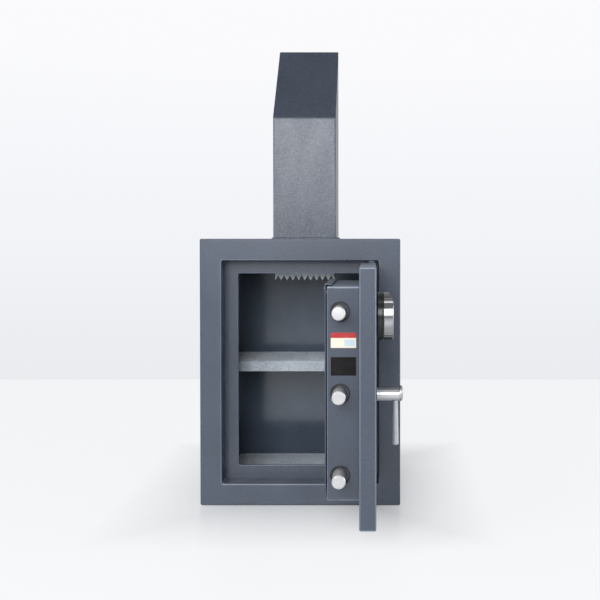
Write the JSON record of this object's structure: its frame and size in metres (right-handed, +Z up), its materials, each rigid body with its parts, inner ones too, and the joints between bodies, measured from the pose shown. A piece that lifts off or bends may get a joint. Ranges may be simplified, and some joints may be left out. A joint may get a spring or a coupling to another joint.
{
  "type": "gooseneck deposit safe",
  "caption": "Insulated steel safe with a wedge-topped deposit neck on its roof and a hinged door carrying round sliding bolts, a lever handle and a keypad lock.",
  "frame": {"origin": "centre of the cabinet's underside", "axes": "+Z up, -Y out of the cabinet's front, +X to the right of someone who faces the front; the door is hinged at +X and stands open at a right angle"},
  "size_m": [0.381, 0.5442, 0.9144],
  "materials": {
    "painted_steel": "semi-gloss blue-grey",
    "painted_inside": "semi-gloss blue-grey",
    "insulation": "cast, matte",
    "bare_steel": "bright zinc",
    "machined_steel": "turned and polished",
    "bronze": "machined",
    "chromed": "polished",
    "black_plastic": "satin black",
    "key_rubber": "matte",
    "carpet": "short pile, mottled grey"
  },
  "bodies": {
    "cabinet": {"outer_case": "painted_steel", "back_plate": "painted_steel", "door_frame": "painted_steel", "jamb_plate": "painted_steel", "inner_liner": "painted_inside", "wall_fill": "insulation", "neck_shell": "painted_steel", "neck_back": "painted_steel", "hood_plate": "painted_steel", "neck_weld": "painted_steel", "chute_baffle": "bare_steel", "saw_comb": "bare_steel", "shelf_pan": "bare_steel", "shelf_carpet": "carpet", "shelf_bracket_left": "painted_inside", "shelf_bracket_right": "painted_inside", "floor_carpet": "carpet", "hinge_pin_upper": "machined_steel", "hinge_pin_lower": "machined_steel"},
    "door": {"door_slab": "painted_steel", "hinge_bush_upper": "bronze", "hinge_bush_lower": "bronze", "bolt_box": "painted_steel", "bolt_box_cover": "painted_steel", "bolt_guide": "bare_steel", "dead_bar": "bare_steel", "guide_stud_lower": "machined_steel", "guide_stud_upper": "machined_steel", "lock_case": "bare_steel", "keypad_base": "black_plastic", "keypad_shell": "chromed", "keypad_panel": "black_plastic"},
    "handle": {"handle_hub": "chromed", "handle_lever": "chromed", "handle_spindle": "machined_steel", "drive_cam": "bare_steel"},
    "boltwork": {"bolt_carriage": "bare_steel", "bolt_upper": "machined_steel", "bolt_middle": "machined_steel", "bolt_lower": "machined_steel"},
    "lock": {"lock_bolt": "bronze"},
    "key_1_cap": {"key_1": "key_rubber"},
    "key_2_cap": {"key_2": "key_rubber"},
    "key_3_cap": {"key_3": "key_rubber"},
    "key_4_cap": {"key_4": "key_rubber"},
    "key_5_cap": {"key_5": "key_rubber"},
    "key_6_cap": {"key_6": "key_rubber"},
    "key_7_cap": {"key_7": "key_rubber"},
    "key_8_cap": {"key_8": "key_rubber"},
    "key_9_cap": {"key_9": "key_rubber"},
    "key_left_cap": {"key_left": "key_rubber"},
    "key_0_cap": {"key_0": "key_rubber"},
    "key_right_cap": {"key_right": "key_rubber"}
  },
  "joints": [
    {"name": "door_hinge", "type": "hinge", "parent": "cabinet", "child": "door", "pos_m": [0.13575, -0.1262, 0.254], "axis": [0, 0, 1], "range_deg": [-90, 25]},
    {"name": "handle_turn", "type": "hinge", "parent": "door", "child": "handle", "pos_m": [0.13575, -0.3252, 0.24825], "axis": [-1, 0, 0], "range_deg": [0, 90]},
    {"name": "bolt_slide", "type": "slide", "parent": "door", "child": "boltwork", "axis": [0, 1, 0], "range_m": [0, 0.032]},
    {"name": "lock_bolt_slide", "type": "slide", "parent": "door", "child": "lock", "axis": [0, 0, -1], "range_m": [-0.009, 0]},
    {"name": "key_1_press", "type": "slide", "parent": "door", "child": "key_1_cap", "axis": [-1, 0, 0], "range_m": [0, 0.001], "stiffness_N_per_m": 300, "springref_m": -0.001},
    {"name": "key_2_press", "type": "slide", "parent": "door", "child": "key_2_cap", "axis": [-1, 0, 0], "range_m": [0, 0.001], "stiffness_N_per_m": 300, "springref_m": -0.001},
    {"name": "key_3_press", "type": "slide", "parent": "door", "child": "key_3_cap", "axis": [-1, 0, 0], "range_m": [0, 0.001], "stiffness_N_per_m": 300, "springref_m": -0.001},
    {"name": "key_4_press", "type": "slide", "parent": "door", "child": "key_4_cap", "axis": [-1, 0, 0], "range_m": [0, 0.001], "stiffness_N_per_m": 300, "springref_m": -0.001},
    {"name": "key_5_press", "type": "slide", "parent": "door", "child": "key_5_cap", "axis": [-1, 0, 0], "range_m": [0, 0.001], "stiffness_N_per_m": 300, "springref_m": -0.001},
    {"name": "key_6_press", "type": "slide", "parent": "door", "child": "key_6_cap", "axis": [-1, 0, 0], "range_m": [0, 0.001], "stiffness_N_per_m": 300, "springref_m": -0.001},
    {"name": "key_7_press", "type": "slide", "parent": "door", "child": "key_7_cap", "axis": [-1, 0, 0], "range_m": [0, 0.001], "stiffness_N_per_m": 300, "springref_m": -0.001},
    {"name": "key_8_press", "type": "slide", "parent": "door", "child": "key_8_cap", "axis": [-1, 0, 0], "range_m": [0, 0.001], "stiffness_N_per_m": 300, "springref_m": -0.001},
    {"name": "key_9_press", "type": "slide", "parent": "door", "child": "key_9_cap", "axis": [-1, 0, 0], "range_m": [0, 0.001], "stiffness_N_per_m": 300, "springref_m": -0.001},
    {"name": "key_left_press", "type": "slide", "parent": "door", "child": "key_left_cap", "axis": [-1, 0, 0], "range_m": [0, 0.001], "stiffness_N_per_m": 300, "springref_m": -0.001},
    {"name": "key_0_press", "type": "slide", "parent": "door", "child": "key_0_cap", "axis": [-1, 0, 0], "range_m": [0, 0.001], "stiffness_N_per_m": 300, "springref_m": -0.001},
    {"name": "key_right_press", "type": "slide", "parent": "door", "child": "key_right_cap", "axis": [-1, 0, 0], "range_m": [0, 0.001], "stiffness_N_per_m": 300, "springref_m": -0.001}
  ],
  "couplings": [
    {"joint": "bolt_slide", "follows": "handle_turn", "m_per_rad": 0.020372}
  ]
}
